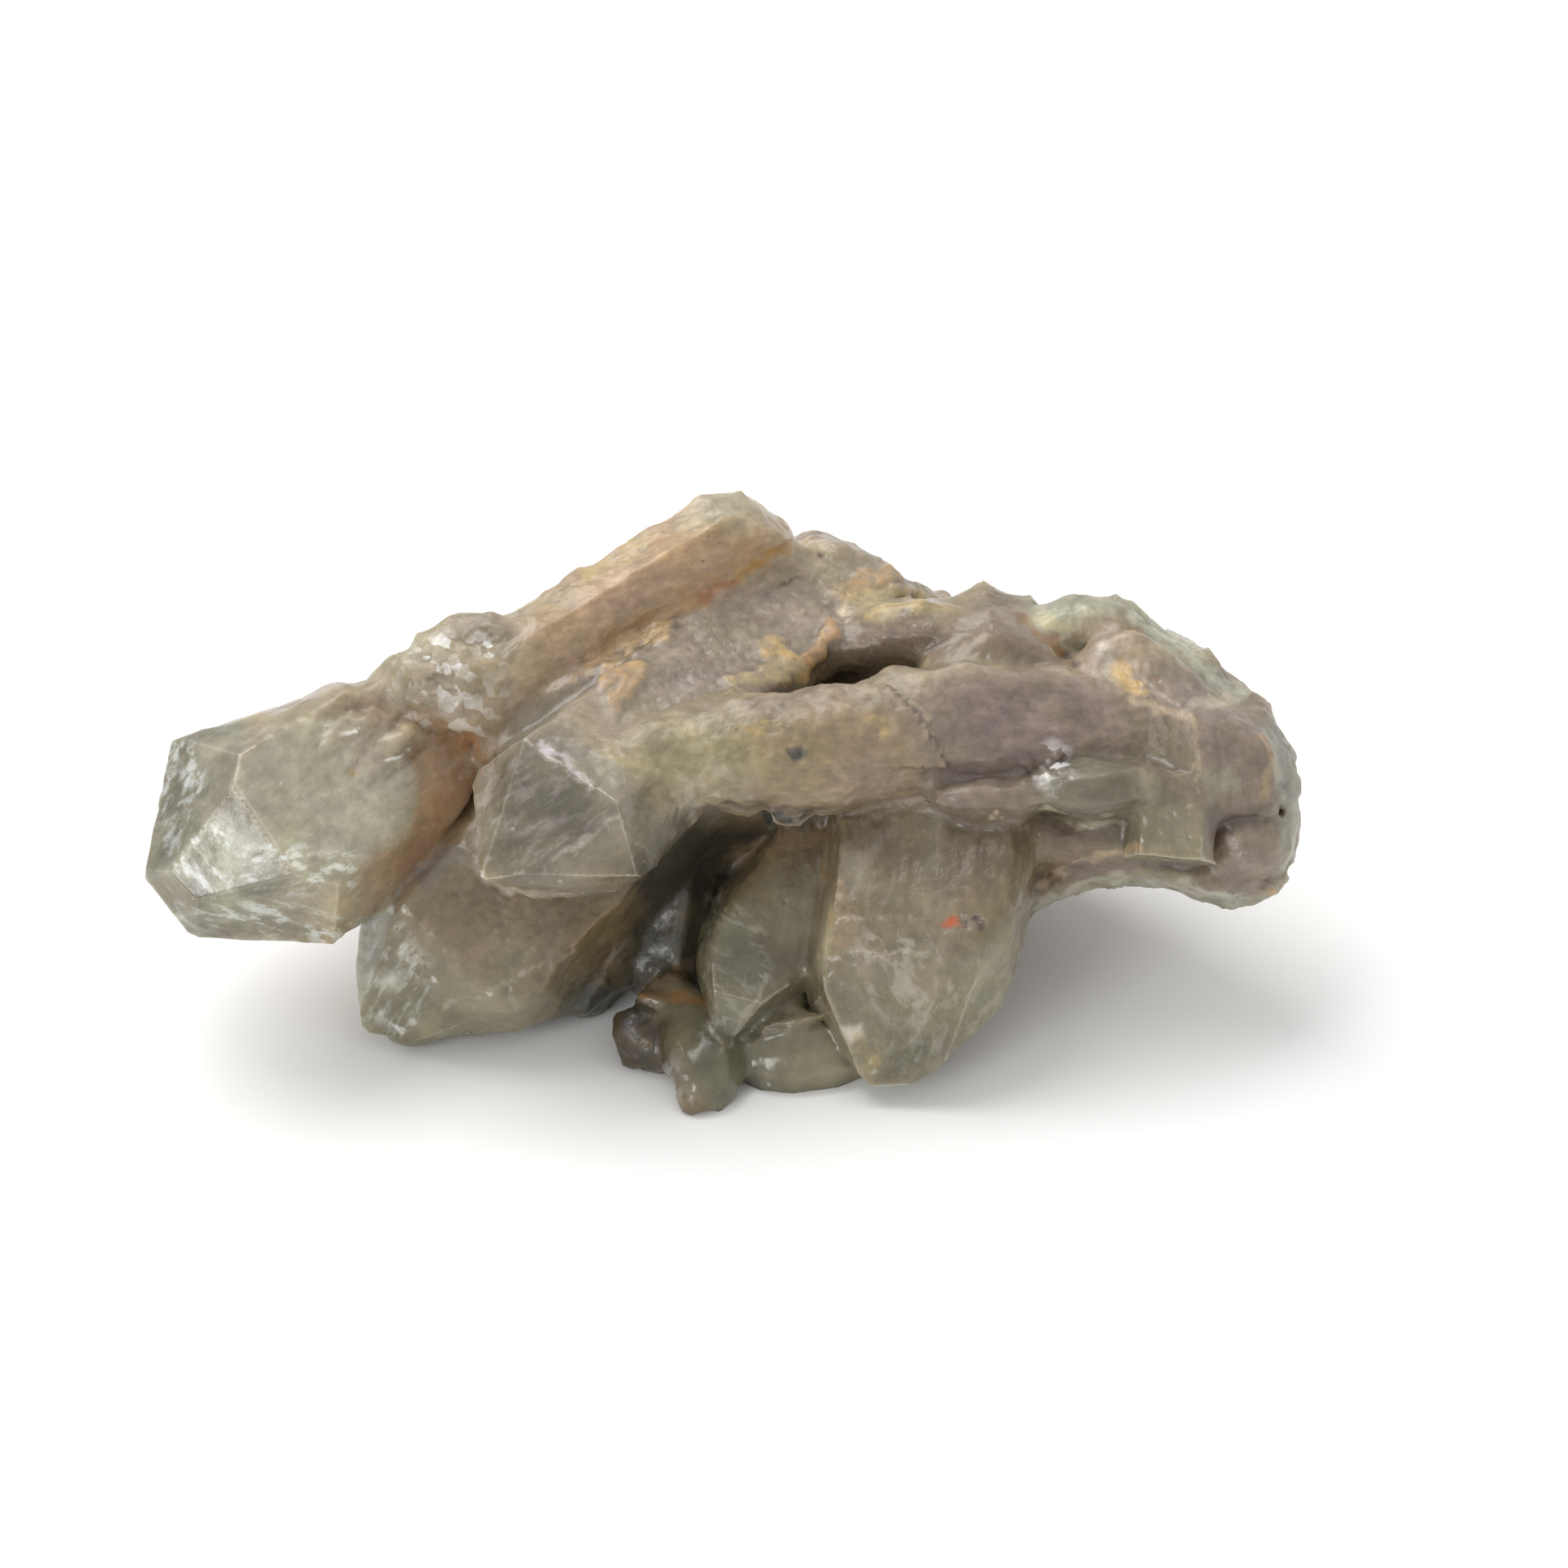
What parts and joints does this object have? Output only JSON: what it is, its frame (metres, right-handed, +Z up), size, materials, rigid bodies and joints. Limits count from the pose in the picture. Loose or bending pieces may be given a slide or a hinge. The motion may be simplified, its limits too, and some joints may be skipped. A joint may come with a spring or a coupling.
{
  "type": "quartz crystal cluster",
  "caption": "Cluster of pale smoky to milky quartz crystals, glassy points at one end and lumpy intergrown crystals at the other, lying on its broken base.",
  "frame": {"origin": "middle of the bounding box's underside, on the surface that the cluster lies on", "axes": "+Z up, +X along the cluster's length from the large left point towards the lumpy right end, -Y towards the side that the picture shows"},
  "size_m": [0.119, 0.0632, 0.0459],
  "materials": {
    "quartz": "glassy crystal faces, clear at the points and milky with iron stains behind them"
  },
  "bodies": {
    "root": {"quartz_cluster": "quartz"}
  },
  "joints": []
}
